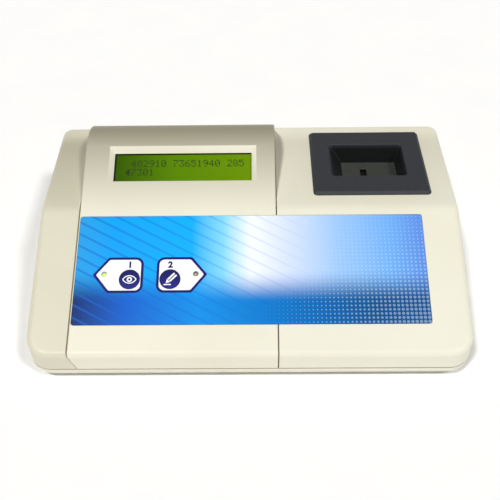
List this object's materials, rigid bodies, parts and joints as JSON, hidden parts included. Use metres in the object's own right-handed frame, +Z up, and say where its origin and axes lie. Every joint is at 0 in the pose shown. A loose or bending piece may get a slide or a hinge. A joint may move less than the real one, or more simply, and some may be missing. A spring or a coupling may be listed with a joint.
{
  "type": "transponder key duplicating machine",
  "caption": "Desktop key cloning console: wedge-shaped ivory case with a sloping printed front panel, push keys, a raised character display and a dark key pocket.",
  "frame": {"origin": "under the middle of the whole object, on the surface it stands on", "axes": "+X to the user's right, +Y to the rear, +Z up"},
  "size_m": [0.25, 0.171, 0.0733],
  "materials": {
    "ivory_abs": "injection moulded, fine spark texture",
    "charcoal_abs": "injection moulded, fine spark texture",
    "printed_polycarbonate": "reverse printed film, soft gloss",
    "key_print": "printed film disc",
    "clear_acrylic": "polished sheet",
    "liquid_crystal": "yellow-green display cell",
    "light_guide": "frosted light guide",
    "black_steel": "black coated sheet",
    "circuit_board": "solder resist on glass epoxy",
    "black_epoxy": "moulded component bodies",
    "white_nylon": "moulded nylon",
    "zinc_steel": "bright zinc plate",
    "nickel_steel": "nickel plated sheet",
    "enamelled_copper": "enamelled winding",
    "silicone_rubber": "matt",
    "black_aluminium": "black anodised extrusion",
    "capacitor_sleeve": "shrink sleeve",
    "green_led": "tinted epoxy",
    "amber_led": "tinted epoxy",
    "grey_pvc": "flat cable and hook-up wire"
  },
  "bodies": {
    "console": {"lower_case": "ivory_abs", "left_end_cap": "ivory_abs", "display_cover": "ivory_abs", "reader_cover": "ivory_abs", "rubber_feet": "silicone_rubber", "case_screws": "zinc_steel", "graphic_overlay": "printed_polycarbonate", "led_spacers": "white_nylon", "keypad_board": "circuit_board", "keypad_screws": "zinc_steel", "keypad_ribbon": "grey_pvc", "display_window": "clear_acrylic", "display_bezel": "black_steel", "display_glass": "liquid_crystal", "display_backlight": "light_guide", "display_board": "circuit_board", "display_screws": "zinc_steel", "display_ribbon": "grey_pvc", "key_pocket": "charcoal_abs", "pocket_screws": "zinc_steel", "antenna_bobbin": "white_nylon", "antenna_coil": "enamelled_copper", "antenna_leads": "grey_pvc", "main_board": "circuit_board", "board_screws": "zinc_steel", "microcontroller": "black_epoxy", "memory_chip": "black_epoxy", "crystal": "nickel_steel", "voltage_regulator": "black_epoxy", "heatsink": "black_aluminium", "capacitors": "capacitor_sleeve", "buzzer": "black_epoxy", "ribbon_headers": "black_epoxy", "power_inlet": "black_epoxy", "power_inlet_pin": "nickel_steel", "serial_port_shell": "nickel_steel", "serial_port_insert": "black_epoxy", "serial_port_jackscrews": "nickel_steel", "power_switch_frame": "black_epoxy", "switch_leads": "grey_pvc", "read_led": "green_led", "write_led": "amber_led", "read_switch_body": "black_epoxy", "write_switch_body": "black_epoxy"},
    "read_key": {"read_key_face": "key_print", "read_key_plunger": "white_nylon", "read_switch_stem": "black_epoxy"},
    "write_key": {"write_key_face": "key_print", "write_key_plunger": "white_nylon", "write_switch_stem": "black_epoxy"},
    "power_rocker": {"power_switch_rocker": "black_epoxy"}
  },
  "joints": [
    {"name": "read_key_press", "type": "slide", "parent": "console", "child": "read_key", "axis": [0, 0.3665, -0.9304], "range_m": [0, 0.0005], "stiffness_N_per_m": 600, "springref_m": -0.002},
    {"name": "write_key_press", "type": "slide", "parent": "console", "child": "write_key", "axis": [0, 0.3665, -0.9304], "range_m": [0, 0.0005], "stiffness_N_per_m": 600, "springref_m": -0.002},
    {"name": "power_rocker_tilt", "type": "hinge", "parent": "console", "child": "power_rocker", "pos_m": [-0.07595, 0.0812, 0.03], "axis": [1, 0, 0], "range_deg": [0, 16]}
  ]
}
